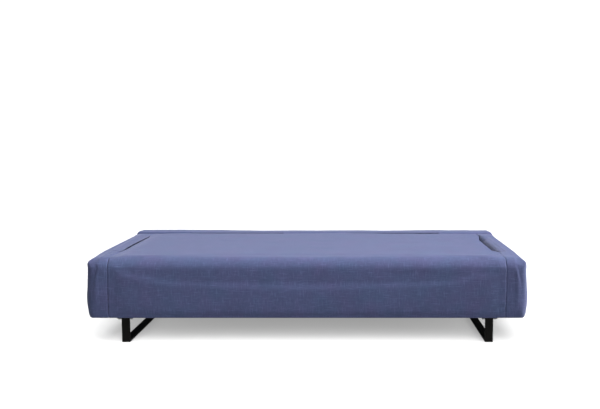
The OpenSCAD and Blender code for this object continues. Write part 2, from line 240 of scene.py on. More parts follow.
def box_grid(xs, ys, zs):
    """Vertices, quads and unfolded coordinates of a box whose faces are gridded at these places."""
    nx, ny, nz = len(xs), len(ys), len(zs)
    i, j, k = np.meshgrid(range(nx), range(ny), range(nz), indexing="ij")
    shell = (i == 0) | (i == nx - 1) | (j == 0) | (j == ny - 1) | (k == 0) | (k == nz - 1)
    number = -np.ones((nx, ny, nz), int)
    number[shell] = np.arange(shell.sum())
    points = np.stack([xs[i[shell]], ys[j[shell]], zs[k[shell]]], 1)
    quads, unfolded = [], []

    def add(ids, u, v, flip):
        corners = [(0, 0), (1, 0), (1, 1), (0, 1)]
        if flip:
            corners.reverse()
        n, m = ids.shape
        pick = lambda g: np.stack([g[a:n - 1 + a, b:m - 1 + b] for a, b in corners], -1).reshape(-1, 4)
        quads.append(pick(ids))
        unfolded.append(np.stack([pick(u), pick(v)], -1))

    x2, y2 = np.meshgrid(xs, ys, indexing="ij")
    add(number[:, :, -1], x2, y2, False)
    add(number[:, :, 0], x2, y2, True)
    x2, z2 = np.meshgrid(xs, zs, indexing="ij")
    add(number[:, 0, :], x2, ys[0] - (zs[-1] - z2), False)
    add(number[:, -1, :], x2, ys[-1] + (zs[-1] - z2), True)
    y2, z2 = np.meshgrid(ys, zs, indexing="ij")
    add(number[0, :, :], xs[0] - (zs[-1] - z2), y2, True)
    add(number[-1, :, :], xs[-1] + (zs[-1] - z2), y2, False)
    return points, np.concatenate(quads), np.concatenate(unfolded)


def push_out(points, core_low, core_high, distance, reach=0.12):
    """Moves each point along the ray from the nearest point of the core box onto distance 0."""
    core = np.clip(points, core_low, core_high)
    ray = points - core
    ray /= np.linalg.norm(ray, axis=1, keepdims=True)
    near = np.zeros(len(points))
    far = np.full(len(points), reach) + np.linalg.norm(points - core, axis=1)
    for _ in range(26):
        mid = (near + far) / 2
        inside = distance(*(core + ray * mid[:, None]).T) < 0
        near, far = np.where(inside, mid, near), np.where(inside, far, mid)
    return core + ray * near[:, None]


def outward(points, distance):
    """Unit normals of the field at these points."""
    e = 0.0006
    grad = []
    for k in range(3):
        step = np.zeros(3)
        step[k] = e
        grad.append(distance(*(points + step).T) - distance(*(points - step).T))
    grad = np.stack(grad, 1)
    return grad / np.maximum(np.linalg.norm(grad, axis=1, keepdims=True), 1e-9)


def mesh_object(name, points, quads, unfolded=None):
    mesh = bpy.data.meshes.new(name)
    mesh.from_pydata([tuple(p) for p in points], [], [tuple(int(c) for c in q) for q in quads])
    if unfolded is not None:
        layer = mesh.uv_layers.new(name="cut")
        layer.data.foreach_set("uv", unfolded.astype(np.float32).ravel())
    mesh.shade_smooth()
    made = bpy.data.objects.new(name, mesh)
    bpy.context.scene.collection.objects.link(made)
    return made


# ---------- materials ----------


class Nodes:
    """A short way to build one node material."""

    def __init__(self, name):
        self.material = bpy.data.materials.new(name)
        self.material.use_nodes = True
        self.tree = self.material.node_tree
        self.shader = self.tree.nodes["Principled BSDF"]

    def node(self, kind, **settings):
        made = self.tree.nodes.new(kind)
        for key, value in settings.items():
            setattr(made, key, value)
        return made

    def link(self, out, into):
        self.tree.links.new(out, into)

    def fill(self, socket, value):
        if isinstance(value, (int, float, tuple, list)):
            socket.default_value = value
        else:
            self.link(value, socket)

    def math(self, operation, a, b=0.0, clamp=False):
        made = self.node("ShaderNodeMath", operation=operation, use_clamp=clamp)
        self.fill(made.inputs[0], a)
        self.fill(made.inputs[1], b)
        return made.outputs[0]

    def join(self, x, y, z=0.0):
        made = self.node("ShaderNodeCombineXYZ")
        for socket, value in zip(made.inputs, (x, y, z)):
            self.fill(socket, value)
        return made.outputs[0]

    def noise(self, vector, scale, detail=2.0, roughness=0.5):
        made = self.node("ShaderNodeTexNoise")
        self.link(vector, made.inputs["Vector"])
        made.inputs["Scale"].default_value = scale
        made.inputs["Detail"].default_value = detail
        made.inputs["Roughness"].default_value = roughness
        return made.outputs["Fac"]

    def stretch(self, value, low, high, to_low=0.0, to_high=1.0):
        made = self.node("ShaderNodeMapRange")
        self.fill(made.inputs["Value"], value)
        for key, number in (("From Min", low), ("From Max", high), ("To Min", to_low), ("To Max", to_high)):
            made.inputs[key].default_value = number
        return made.outputs["Result"]

    def mix(self, factor, a, b, blend="MIX"):
        made = self.node("ShaderNodeMix", data_type="RGBA", blend_type=blend)
        self.fill(made.inputs["Factor"], factor)
        self.fill(made.inputs[6], a)
        self.fill(made.inputs[7], b)
        return made.outputs[2]

    def bump(self, height, strength, distance, normal=None):
        made = self.node("ShaderNodeBump")
        made.inputs["Strength"].default_value = strength
        made.inputs["Distance"].default_value = distance
        self.link(height, made.inputs["Height"])
        if normal is not None:
            self.link(normal, made.inputs["Normal"])
        return made.outputs["Normal"]

    def set(self, **values):
        for key, value in values.items():
            self.fill(self.shader.inputs[key.replace("_", " ")], value)
        return self.material


THREAD = 0.0016                             # from one thread of the weave to the next


def woven(name, dark, light, shift_a, shift_b, sheen=0.35, shade=None):
    """A plain weave of two melange threads, laid along the piece's own unfolded coordinates.

    shade: (from, to, strength) paints shade into the cloth: darkens its colour between two places across the
    piece, as a painted shadow.
    """
    n = Nodes(name)
    cut = n.node("ShaderNodeUVMap", uv_map="cut").outputs["UV"]
    split = n.node("ShaderNodeSeparateXYZ")
    n.link(cut, split.inputs[0])
    u, v = split.outputs[0], split.outputs[1]
    wave_u = n.math("SINE", n.math("MULTIPLY", u, math.pi / THREAD))
    wave_v = n.math("SINE", n.math("MULTIPLY", v, math.pi / THREAD))
    over = n.stretch(n.math("MULTIPLY", wave_u, wave_v), -0.25, 0.25)
    round_u = n.math("ABSOLUTE", wave_u)
    round_v = n.math("ABSOLUTE", wave_v)
    yarn_u = n.noise(n.join(n.math("MULTIPLY", u, 1 / THREAD), n.math("MULTIPLY", v, 70.0)), 1.0, 2.0)
    yarn_v = n.noise(n.join(n.math("MULTIPLY", u, 70.0), n.math("MULTIPLY", v, 1 / THREAD)), 1.0, 2.0)
    height = n.math("ADD", n.math("MULTIPLY", over, round_u),
                    n.math("MULTIPLY", n.math("SUBTRACT", 1.0, over), round_v))
    slub = n.math("ADD", n.math("MULTIPLY", over, yarn_u),
                  n.math("MULTIPLY", n.math("SUBTRACT", 1.0, over), yarn_v))
    speckle = n.noise(cut, 420.0, 3.0, 0.65)
    streak_a = n.noise(n.join(n.math("MULTIPLY", u, 22.0), n.math("MULTIPLY", v, 170.0)), 1.0, 2.0, 0.5)
    streak_b = n.noise(n.join(n.math("MULTIPLY", u, 170.0), n.math("MULTIPLY", v, 22.0)), 1.0, 2.0, 0.5)
    streak = n.math("MULTIPLY", n.math("ADD", streak_a, streak_b), 0.5)
    tone = n.math("ADD", n.math("MULTIPLY", slub, 0.45), n.math("MULTIPLY", speckle, 0.3))
    tone = n.math("ADD", tone, n.math("MULTIPLY", streak, 0.5))
    colour = n.mix(n.stretch(tone, 0.38, 0.84), dark, light)
    patch = n.stretch(n.noise(cut, 7.0, 3.0, 0.6), 0.34, 0.66)
    colour = n.mix(patch, n.mix(1.0, colour, shift_a, "MULTIPLY"), n.mix(1.0, colour, shift_b, "MULTIPLY"))
    worn = n.stretch(n.noise(cut, 9.0, 3.0, 0.5), 0.3, 0.7, 0.95, 1.05)
    dashes = n.math("MAXIMUM", n.stretch(streak_a, 0.58, 0.72), n.stretch(streak_b, 0.58, 0.72))
    worn = n.math("ADD", worn, n.math("MULTIPLY", dashes, 0.20))
    colour = n.mix(1.0, colour, n.join(worn, worn, worn), "MULTIPLY")
    if shade:
        # painted shade: the colour is multiplied down across the piece, standing in for shade rather than a
        # colour of the cloth
        painted_shade_dim = n.stretch(v, shade[0], shade[1], shade[2], 1.0)
        colour = n.mix(1.0, colour, n.join(painted_shade_dim, painted_shade_dim, painted_shade_dim), "MULTIPLY")
    n.link(colour, n.shader.inputs["Base Color"])
    n.set(Roughness=n.stretch(slub, 0.2, 0.8, 0.78, 0.95), Sheen_Weight=sheen, Sheen_Roughness=0.45)
    n.shader.inputs["Specular IOR Level"].default_value = 0.25
    n.shader.inputs["Sheen Tint"].default_value = (0.75, 0.78, 1.0, 1.0)
    fuzz = n.bump(speckle, 0.25, 0.0006)
    n.link(n.bump(height, 0.5, 0.00045, fuzz), n.shader.inputs["Normal"])
    return n.material


def metal(name, colour, metallic, rough, grain, bump_depth):
    """Painted, plated or bare metal with a fine grain and a little uneven gloss."""
    n = Nodes(name)
    place = n.node("ShaderNodeTexCoord").outputs["Object"]
    fine = n.noise(place, grain, 3.0, 0.6)
    broad = n.noise(place, 9.0, 3.0, 0.6)
    shade = n.stretch(broad, 0.3, 0.7, 0.85, 1.2)
    n.link(n.mix(1.0, colour, n.join(shade, shade, shade), "MULTIPLY"), n.shader.inputs["Base Color"])
    n.set(Metallic=metallic, Roughness=n.stretch(fine, 0.3, 0.7, rough - 0.06, rough + 0.1))
    n.link(n.bump(fine, 0.35, bump_depth), n.shader.inputs["Normal"])
    return n.material


def wood(name, dark, light):
    n = Nodes(name)
    place = n.node("ShaderNodeTexCoord").outputs["Object"]
    split = n.node("ShaderNodeSeparateXYZ")
    n.link(place, split.inputs[0])
    along = n.math("MULTIPLY", split.outputs[1], 3.0)
    grain = n.noise(n.join(n.math("MULTIPLY", split.outputs[0], 90.0), along,
                           n.math("MULTIPLY", split.outputs[2], 90.0)), 1.0, 5.0, 0.6)
    n.link(n.mix(n.stretch(grain, 0.35, 0.65), dark, light), n.shader.inputs["Base Color"])
    n.set(Roughness=n.stretch(grain, 0.3, 0.7, 0.5, 0.65))
    n.link(n.bump(grain, 0.3, 0.0004), n.shader.inputs["Normal"])
    return n.material


def moulded(name, colour, rough):
    n = Nodes(name)
    place = n.node("ShaderNodeTexCoord").outputs["Object"]
    fine = n.noise(place, 900.0, 2.0, 0.5)
    n.link(n.mix(n.stretch(fine, 0.3, 0.7, 0.0, 1.0), colour, [c * 0.88 for c in colour[:3]] + [1.0]),
           n.shader.inputs["Base Color"])
    n.set(Roughness=n.stretch(fine, 0.3, 0.7, rough - 0.05, rough + 0.08))
    n.link(n.bump(fine, 0.2, 0.0002), n.shader.inputs["Normal"])
    return n.material


def cellular(name, colour):
    """Cut foam: open cells and a slightly uneven yellowing."""
    n = Nodes(name)
    place = n.node("ShaderNodeTexCoord").outputs["Object"]
    cells = n.node("ShaderNodeTexVoronoi")
    n.link(place, cells.inputs["Vector"])
    cells.inputs["Scale"].default_value = 700.0
    age = n.stretch(n.noise(place, 5.0, 3.0), 0.3, 0.7)
    n.link(n.mix(age, colour, [colour[0] * 0.9, colour[1] * 0.85, colour[2] * 0.7, 1.0]),
           n.shader.inputs["Base Color"])
    n.set(Roughness=0.95)
    n.link(n.bump(cells.outputs["Distance"], 0.5, 0.0008), n.shader.inputs["Normal"])
    return n.material


def spunbond(name, colour):
    """Thin bonded fleece: matted fibres with a grid of small pressed dots."""
    n = Nodes(name)
    cut = n.node("ShaderNodeUVMap", uv_map="cut").outputs["UV"]
    fibres = n.noise(cut, 900.0, 4.0, 0.7)
    split = n.node("ShaderNodeSeparateXYZ")
    n.link(cut, split.inputs[0])
    wave = [n.math("SINE", n.math("MULTIPLY", axis, math.pi / 0.0022)) for axis in split.outputs[:2]]
    dots = n.stretch(n.math("MULTIPLY", wave[0], wave[1]), 0.6, 0.9)
    cloudy = n.stretch(n.noise(cut, 22.0, 4.0, 0.6), 0.3, 0.7, 0.7, 1.5)
    n.link(n.mix(1.0, colour, n.join(cloudy, cloudy, cloudy), "MULTIPLY"), n.shader.inputs["Base Color"])
    n.set(Roughness=n.stretch(dots, 0.0, 1.0, 0.9, 0.6))
    n.link(n.bump(n.math("SUBTRACT", fibres, dots), 0.5, 0.0004), n.shader.inputs["Normal"])
    return n.material


WEAVE = ((0.042, 0.053, 0.124, 1), (0.086, 0.100, 0.208, 1), (0.93, 1.04, 1.0, 1), (1.08, 0.97, 1.0, 1))
COVER = woven("blue_violet_weave", *WEAVE)
# Painted shade: the right flap's copy of the weave, darkened in colour to about a third towards its free
# edge, standing in for the shadow in the slot's hollow.
PAINTED_SHADE_COVER = woven("blue_violet_weave_hollow", *WEAVE, sheen=0.25, shade=(-0.018, 0.006, 0.32))
BLACK_PAINT = metal("black_powder_coat", (0.0040, 0.0034, 0.0026, 1), 0.0, 0.5, 1400.0, 0.0003)
BLACK_PAINT.node_tree.nodes["Principled BSDF"].inputs["Specular IOR Level"].default_value = 0.12
ZINC = metal("zinc_plate", (0.52, 0.53, 0.55, 1), 0.9, 0.34, 500.0, 0.0001)
NYLON = moulded("white_nylon", (0.75, 0.74, 0.70, 1), 0.5)
BLACK_PLASTIC = moulded("black_plastic", (0.016, 0.016, 0.017, 1), 0.55)
BEECH = wood("beech_slats", (0.42, 0.25, 0.12, 1), (0.62, 0.42, 0.24, 1))
PLY = wood("plywood", (0.36, 0.23, 0.12, 1), (0.52, 0.36, 0.21, 1))
FOAM = cellular("cut_foam", (0.78, 0.72, 0.50, 1))
SPUNBOND = spunbond("black_spunbond", (0.012, 0.012, 0.013, 1))

SLOT_MATERIAL = {
    "cover_fabric": COVER, "foam": FOAM, "underside_cloth": SPUNBOND, "slat_wood": BEECH,
    "plywood": PLY, "black_plastic": BLACK_PLASTIC, "nylon": NYLON, "zinc_steel": ZINC,
    "black_steel": BLACK_PAINT,
}


def dress(piece, material):
    piece.data.materials.clear()
    piece.data.materials.append(material)
    return piece


# ---------- padding ----------


def read_points(mesh):
    points = np.empty(3 * len(mesh.vertices), np.float32)
    mesh.vertices.foreach_get("co", points)
    return points.reshape(-1, 3).astype(float)


def write_points(mesh, points):
    mesh.vertices.foreach_set("co", points.astype(np.float32).ravel())
    mesh.update()


SIM_FRAMES = 20


def swell_cloth(piece, free, pressure, cap):
    """Blows the padding up under the fabric by simulation. Only the free points move, by cap at most."""
    group = piece.vertex_groups.new(name="held")
    group.add([int(k) for k in np.flatnonzero(~free)], 1.0, "REPLACE")
    cloth = piece.modifiers.new("padding", "CLOTH")
    cloth.settings.quality = 4
    cloth.settings.mass = 0.3
    cloth.settings.tension_stiffness = 12
    cloth.settings.compression_stiffness = 12
    cloth.settings.shear_stiffness = 4
    cloth.settings.bending_stiffness = 0.4
    cloth.settings.use_pressure = True
    cloth.settings.uniform_pressure_force = pressure
    cloth.settings.vertex_group_mass = group.name
    cloth.settings.effector_weights.gravity = 0
    cloth.collision_settings.use_collision = False
    cloth.point_cache.frame_start = 1
    cloth.point_cache.frame_end = SIM_FRAMES
    scene = bpy.context.scene
    for k in range(1, SIM_FRAMES + 1):
        scene.frame_set(k)
    blown = read_points(piece.evaluated_get(bpy.context.evaluated_depsgraph_get()).data)
    start = read_points(piece.data)
    move = (blown - start) * free[:, None]
    length = np.linalg.norm(move, axis=1, keepdims=True)
    move *= cap * np.tanh(length / cap) / np.maximum(length, 1e-9)
    piece.modifiers.remove(cloth)
    piece.vertex_groups.remove(group)
    scene.frame_set(1)
    write_points(piece.data, start + move)


# ---------- the covers ----------

SEAM_K = 0.0045
HEM_FADE = 0.03                             # height over which unevenness dies out down to the hem
FLOOR_REACH = 0.17                          # height over which a lifted underside pulls the sides with it
RIGHT_BOW = 0.029                           # how far the seat's edge gives way beside each arm's slot
LEFT_BOW = 0.013


def slot_back_v(y, z):
    """How far behind the seat's leaning rear face a point is."""
    return (y - SEAM_Y) * math.cos(LEAN) - (z - TOP) * math.sin(LEAN)


def seam_gap(d, reach=0.05):
    """0 at a seam, rising to 1 away from it."""
    return 1 - np.exp(-np.maximum(d, 0) / reach)


def puckers(along, d, seed):
    """Short gathers that start at a seam and die away from it."""
    lines = rough2(along / 0.018 + seed, np.full_like(along, seed * 3.7), 2)
    return 0.0009 * lines * np.exp(-np.maximum(d, 0) / 0.028)


def soft_waves(a, b, seed):
    """Broad unevenness of padding under taut fabric."""
    broad = 0.0016 * noise2(a / 0.23 + seed, b / 0.19 - seed)
    return broad + 0.0006 * noise2(a / 0.08 - seed, b / 0.06 + seed)


def bow(side, y):
    """How far the seat's edge stands back from its seam at y along an arm's slot."""
    if side > 0:
        return RIGHT_BOW * ease(0.30, 0.08, y) * ease(-0.318, -0.262, y)
    return LEFT_BOW * ease(0.31, 0.22, y) * ease(-0.31, -0.22, y)


def seat_distance(x, y, z):
    d = body_distance(x, y, z)
    give = np.where(x > 0, bow(1, y), bow(-1, y)) * ease(TOP - 0.20, TOP - 0.06, z)
    d = smax(d, np.abs(x) + give - SEAM_X, SEAM_K)
    return smax(d, slot_back_v(y, z), SEAM_K)


def seat_relief(p):
    x, y, z = p.T
    ends, back = SEAM_X - np.abs(x), -slot_back_v(y, z)
    flat = np.where(z > TOP - FRONT_R, y, -HALF_D - (TOP - z))
    lift = 0.003 * seam_gap(ends) * seam_gap(back) * (z > TOP - 0.1)
    lift = lift + 0.002 * seam_gap(ends) * (z <= TOP - 0.1)
    return lift + puckers(flat, ends, 3) + puckers(x, back, 8) + soft_waves(x, flat, 5)


COVERS = {}                                 # each cover's finished surface, for the flaps to lie on


def make_cover(name, spans, core, distance, relief, nodes, floor, free):
    """A closed cover. floor gives the height of its underside's middle, where the frame comes up into it."""
    points, quads, unfolded = box_grid(*spans)
    points = push_out(points, np.array(core[0]), np.array(core[1]), distance)
    made = mesh_object(name, points, quads, unfolded)
    swell_cloth(made, free(*points.T), pressure=3.0, cap=0.004)
    height = points[:, 2] - BASE
    fade = ease(0, HEM_FADE, height)
    points = read_points(made.data) + outward(points, distance) * (relief(points) * fade)[:, None]
    share = np.clip(1 - height / FLOOR_REACH, 0, 1)
    points[:, 2] += share * floor(points[:, 0], points[:, 1])
    write_points(made.data, points)
    dress(made, COVER)
    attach(made, "base")
    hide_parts(*nodes)
    COVERS[name] = BVHTree.FromPolygons([tuple(p) for p in points], [tuple(map(int, q)) for q in quads])
    return made


STEP = 0.005                                # run of the step where an underside rises over the frame


def seat_floor(x, y):
    return (DECK_TOP - BASE) * ease(-RAIL_Y - STEP, -RAIL_Y, y)


def border_floor(x, y):
    inside = ease(RAIL_X + STEP, RAIL_X, np.abs(x))
    return (RAIL_TOP - BASE) * inside * ease(-RAIL_Y - STEP, -RAIL_Y, y) * ease(RAIL_Y + STEP, RAIL_Y, y)


def make_seat():
    spans = (spaced(-SEAM_X, SEAM_X, 0.003, 0.013, 0.10),
             spaced(-HALF_D, SEAM_Y + 0.02, 0.004, 0.011, 0.10),
             spaced(BASE, TOP, 0.004, 0.008, 0.08))
    core = ((-SEAM_X + 0.06, -HALF_D + 0.082, BASE + 0.06), (SEAM_X - 0.06, SEAM_Y - 0.12, TOP - 0.082))
    return make_cover("seat_upholstery", spans, core, seat_distance, seat_relief,
                      ["seat_cover", "mattress_core", "mattress_topper", "front_apron_foam"], seat_floor,
                      lambda x, y, z: (z > BASE + 0.02) & (np.abs(x) < SEAM_X - 0.035)
                      & (slot_back_v(y, z) < -0.004))


def sunk(y):
    """Where along the right arm's slot the fabric has been pushed down, from 0 to 1."""
    return ease(0.25, 0.16, y) * ease(-0.318, -0.245, y)


def hollow(across, y):
    """Depth of the right slot's sunken fabric, at a distance across from the seam."""
    past = np.clip(1 - (across - SLOT_W) / 0.030, 0, 1)
    inside = np.clip((SLOT_W - across) / (SLOT_W + RIGHT_BOW), 0, 1)
    return (0.007 * past**2 + 0.080 * inside**1.9) * sunk(y)


SLOT_DEPTH = TOP - BASE + 0.03              # right through, so that a lowered rest hangs clear


def slot_carve(across, along, depth):
    """Distance into the clear space of a slot."""
    slot = smax(np.abs(across) - SLOT_HALF_V, np.abs(along) - SLOT_HALF_U, 0.004)
    return smax(slot, depth - SLOT_DEPTH, 0.01)


def end_distance(side, x, y, z):
    """An end border: the body outside the seam, less its slot."""
    across = side * x - SEAM_X
    dip = hollow(across, y) if side > 0 else 0
    d = body_distance(x, y, z + dip)
    d = smax(d, -across, SEAM_K)
    d = smax(d, y - SEAM_Y, SEAM_K)
    return smax(d, -slot_carve(np.maximum(across - SLOT_HALF_V, 0), y, TOP - z), 0.004)


def end_relief(side):
    def relief(p):
        x, y, z = p.T
        across = side * x - SEAM_X
        flat = np.where(z > TOP - FRONT_R, y, -HALF_D - (TOP - z))
        outer = np.where(np.abs(x) > HALF_W - 0.01, 1.0, 0.4)
        clear = ease(SLOT_HALF_U + 0.01, SLOT_HALF_U + 0.04, np.abs(y))
        lift = 0.002 * seam_gap(across, 0.03) * seam_gap(SEAM_Y - y)
        gathers = puckers(flat, across, 11 + side) * clear
        return lift + gathers + outer * soft_waves(y, z + x, 21 + side) * np.maximum(clear, outer)

    return relief


def make_end(side, name, node):
    a, b = sorted((side * SEAM_X, side * HALF_W))
    spans = (spaced(a, b, 0.003, 0.005, 0.03), spaced(-HALF_D, SEAM_Y, 0.004, 0.007, 0.08),
             spaced(BASE, TOP, 0.004, 0.007, 0.08))
    middle = side * (SEAM_X + SLOT_W + 0.030)
    core = ((middle, -HALF_D + 0.08, BASE + 0.04), (middle, SEAM_Y - 0.04, TOP - 0.08))
    return make_cover(name, spans, core, lambda x, y, z: end_distance(side, x, y, z), end_relief(side),
                      [node + "_border_cover", node + "_border_foam", node + "_slot_liner"], border_floor,
                      lambda x, y, z: (z > BASE + 0.02) & (y < SEAM_Y - 0.01)
                      & (side * x > SEAM_X + SLOT_W + 0.012))


BACK_LIP_K = 0.016                          # rounding of the bolster's front edge


def back_rise(x):
    """How far the back border's bolster stands above the seat: most at the left."""
    return 0.0055 + 0.0030 * ease(-0.25, -0.65, x)


def back_distance(x, y, z):
    """The back border: a bolster across the whole width, less its two slots."""
    d = body_distance(x, y, z - back_rise(x))
    behind = np.where(np.abs(x) < SEAM_X, slot_back_v(y, z), y - SEAM_Y)
    d = smax(d, -behind, BACK_LIP_K)
    across = np.maximum(slot_back_v(y, z) - SLOT_HALF_V, 0)
    return smax(d, -slot_carve(across, np.abs(x) - BACK_REST_X, TOP - z), 0.004)


def back_relief(p):
    x, y, z = p.T
    behind = slot_back_v(y, z)
    clear = ease(SLOT_HALF_U + 0.01, SLOT_HALF_U + 0.04, np.abs(np.abs(x) - BACK_REST_X))
    crown = np.maximum(clear, ease(SLOT_W + 0.002, SLOT_W + 0.02, behind))
    lift = 0.003 * seam_gap(behind, 0.03) * (z > TOP - 0.05)
    return lift * crown + puckers(x, behind, 31) * clear + soft_waves(x, y - z, 41) * ease(0.02, 0.05, behind)


def make_back():
    spans = (spaced(-HALF_W, HALF_W, 0.004, 0.009, 0.1), spaced(SEAM_Y - 0.01, HALF_D, 0.003, 0.006, 0.03),
             spaced(BASE, TOP, 0.004, 0.008, 0.08))
    middle = (SEAM_Y + HALF_D + SLOT_W) / 2 + 0.01
    core = ((-HALF_W + 0.05, middle, BASE + 0.04), (HALF_W - 0.05, middle, TOP - 0.05))
    return make_cover("back_upholstery", spans, core, back_distance, back_relief,
                      ["back_border_cover", "back_border_foam", "back_slot_liners"], border_floor,
                      lambda x, y, z: (z > BASE + 0.02) & (slot_back_v(y, z) > SLOT_W + 0.012))


make_seat()
make_end(-1, "left_upholstery", "left")
make_end(1, "right_upholstery", "right")
make_back()

# ---------- flaps over the slots ----------

FLAP_T = 0.004
FLAP_TIP = 0.22                             # share of a flap's width over which its free edge rounds off
LAP = 0.15                                  # share of its width by which a flap laps onto the cover outside
LAP_END = 0.006                             # how far it laps over the slot's ends
DROP = 0.05                                 # how far above the slot the points are dropped from


def lie_on(cover, rest, u, v):
    """Heights in the slot's frame at which points dropped along the slide land on a cover."""
    start = rest.world(np.stack([u, v, np.full_like(v, DROP)], 1))
    hits = [COVERS[cover].ray_cast(Vector(p), -rest.w, 2 * DROP)[3] for p in start]
    return np.array([0.0 if hit is None else DROP - hit for hit in hits])


def make_flap(rest, cover, bow_at, gap_at, sink_at, cloth=COVER):
    """A lined fabric flap over a slot, lapped onto the cover outside it."""
    points, quads, _ = box_grid(spaced(-LAP, 1, 0.02, 0.05, 0.3), spaced(-1, 1, 0.012, 0.03, 0.3),
                                np.linspace(0, 1, 5))
    t, along, h = points.T
    past_end = np.where(bow_at(0 * along) > 0.001, 0.03, 0) * ease(0.55, 0.8, t)
    end = SLOT_HALF_U + LAP_END * ease(1.0, 0.9, t) + past_end
    u = along * end
    edge = -SLOT_HALF_V - bow_at(u) + gap_at(u)
    v = SLOT_HALF_V + (edge - SLOT_HALF_V) * t
    lap = np.clip(SLOT_HALF_V + 0.004 + np.zeros_like(v), v, None)
    over = lie_on(cover, rest, u, lap) + sink_at(lap + SLOT_HALF_V, u)
    inside = np.clip(t, 0, 1)
    ends = ease(SLOT_HALF_U - 0.012, SLOT_HALF_U, np.abs(u)) * (t < 0.9)
    level = over * (1 - inside) - sink_at(v + SLOT_HALF_V, u)
    clear_u = np.sign(u) * np.maximum(np.abs(u), SLOT_HALF_U + 0.005)
    top = level + (lie_on(cover, rest, clear_u, v) - level) * ends + 0.0006
    top += 0.0005 * noise2(u / 0.03, t * 3) * inside * (1 - inside) * 4
    tip = np.clip((t - 1 + FLAP_TIP) / FLAP_TIP, 0, 1)
    body = np.sqrt(np.maximum(1 - tip**2, 0.0))
    end_hem = ease(SLOT_HALF_U + LAP_END, SLOT_HALF_U - 0.008, np.abs(u)) + (t > 0.6)
    hem = np.minimum(ease(-LAP, 0.12, t), end_hem)
    thick = FLAP_T * np.maximum(np.minimum(body, hem), 0.12)
    w = top - (1 - h) * thick
    cut = np.stack([u[quads], v[quads]], -1)
    made = mesh_object(rest.name + "_slot_flap", rest.world(np.stack([u, v, w], 1)), quads, cut)
    dress(made, cloth)
    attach(made, "base")
    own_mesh(made)
    return made


def thin_slit(widest, at):
    """Width of a spindle-shaped slit along u, widest at the given place."""
    def width(u):
        t = np.clip((u - at) / np.where(u > at, SLOT_HALF_U - at, SLOT_HALF_U + at), -1, 1)
        return 0.0006 + widest * (1 - t * t)
    return width


make_flap(RESTS["left_arm"], "left_upholstery", lambda u: bow(-1, u), thin_slit(0.011, -0.13),
          lambda across, u: 0 * u)
# the right flap wears the weave with painted shade in its hollow
make_flap(RESTS["right_arm"], "right_upholstery", lambda u: bow(1, -u), lambda u: 0.003 + 0 * u,
          lambda across, u: hollow(across, -u), PAINTED_SHADE_COVER)
for _name in ("left_back", "right_back"):
    make_flap(RESTS[_name], "back_upholstery", lambda u: 0 * u, thin_slit(0.0025, 0.05),
              lambda across, u: 0 * u)

# ---------- the rests' pads ----------


def pad_distance(u, v, w):
    """A thin cushion in its slot's frame, its outline pulled in between its corners."""
    low, high = PAD_LOW.z - TOP, PAD_HIGH.z - TOP
    mid, half_w = (low + high) / 2, (high - low) / 2
    a, b = np.clip(u / PAD_HALF_U, -1, 1), np.clip((w - mid) / half_w, -1, 1)
    pull = 0.003
    su = u * (1 + pull / PAD_HALF_U * (1 - b * b))
    sw = (w - mid) * (1 + pull / half_w * (1 - a * a))
    outline = round_rect(su, sw, -PAD_HALF_U, PAD_HALF_U, -half_w, half_w, (0.012,) * 4)
    thick = 0.0098 + 0.0032 * (1 - a**4) * (1 - b**4)
    return smax(outline, np.abs(v) - thick, 0.012)


def make_pad(rest):
    low, high = PAD_LOW.z - TOP, PAD_HIGH.z - TOP
    spans = (spaced(-PAD_HALF_U, PAD_HALF_U, 0.003, 0.007, 0.05),
             spaced(-PAD_HALF_V, PAD_HALF_V, 0.0025, 0.003, 0.01), spaced(low, high, 0.003, 0.007, 0.05))
    points, quads, unfolded = box_grid(*spans)
    inset = 0.016
    points = push_out(points, np.array((-PAD_HALF_U + inset, 0, low + inset)),
                      np.array((PAD_HALF_U - inset, 0, high - inset)), pad_distance, reach=0.05)
    made = mesh_object(rest.name + "_cushion", points, quads, unfolded)
    swell_cloth(made, np.abs(points[:, 1]) > 0.004, pressure=4.0, cap=0.0013)
    normals = outward(points, pad_distance)
    u, v, w = points.T
    rim = np.exp(-((v / 0.0022) ** 2)) * (np.abs(normals[:, 1]) < 0.6)
    around = np.arctan2(w - (low + high) / 2, u) * 0.3
    relief = -0.0012 * rim + puckers(around * 2, PAD_HALF_V - np.abs(v), 51) * 0.35 * (1 - rim)
    relief += 0.0004 * noise2(u / 0.07 + 9, w / 0.06) * (np.abs(normals[:, 1]) > 0.6)
    points = read_points(made.data) + normals * relief[:, None]
    write_points(made.data, rest.world(points))
    dress(made, COVER)
    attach(made, rest.name + "_rest")
    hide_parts(rest.name + "_pad", rest.name + "_board")


for _rest in RESTS.values():
    make_pad(_rest)

# ---------- the cloth under the frame ----------

CLOTH_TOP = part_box("bottom_cloth")[1].z
CLOTH_T = 0.0008
CLOTH_CELL = 0.011
CLOTH_SAG = 0.007
CLOTH_HELD = 0.015                          # width of the strip that lies flat on the rails
PLATE_GAP = 0.001
STAPLE_PITCH = 0.055
STAPLE_INSET = 0.010                        # from the frame's outer face to a staple
STAPLE_L = 0.011
STAPLE_W = 0.0013
STAPLE_T = 0.0006


def sag(x, y):
    """How far the cloth hangs below the frame: nothing at each rail, most between them."""
    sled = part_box("right_sled")
    sled_mid = (sled[0].x + sled[1].x) / 2
    fixed_x = [-RAIL_X + CLOTH_HELD, -sled_mid, 0, sled_mid, RAIL_X - CLOTH_HELD]
    near_x = np.min([np.abs(x - f) for f in fixed_x], axis=0)
    near_y = np.minimum(RAIL_Y - CLOTH_HELD - np.abs(y), 1.0)
    hang = CLOTH_SAG * (1 - np.exp(-np.maximum(near_x - 0.04, 0) / 0.12))
    hang = hang * (1 - np.exp(-np.maximum(near_y, 0) / 0.1))
    return hang * (1 + 0.35 * noise2(x / 0.11, y / 0.13)) + 0.0006 * np.abs(noise2(x / 0.02, y / 0.05))


def even_steps(stops):
    """Places from the first stop to the last, about a cell apart, with one on every stop."""
    runs = [np.linspace(a, b, max(2, int((b - a) / CLOTH_CELL)), endpoint=False)
            for a, b in zip(stops, stops[1:])]
    return np.concatenate(runs + [[stops[-1]]])


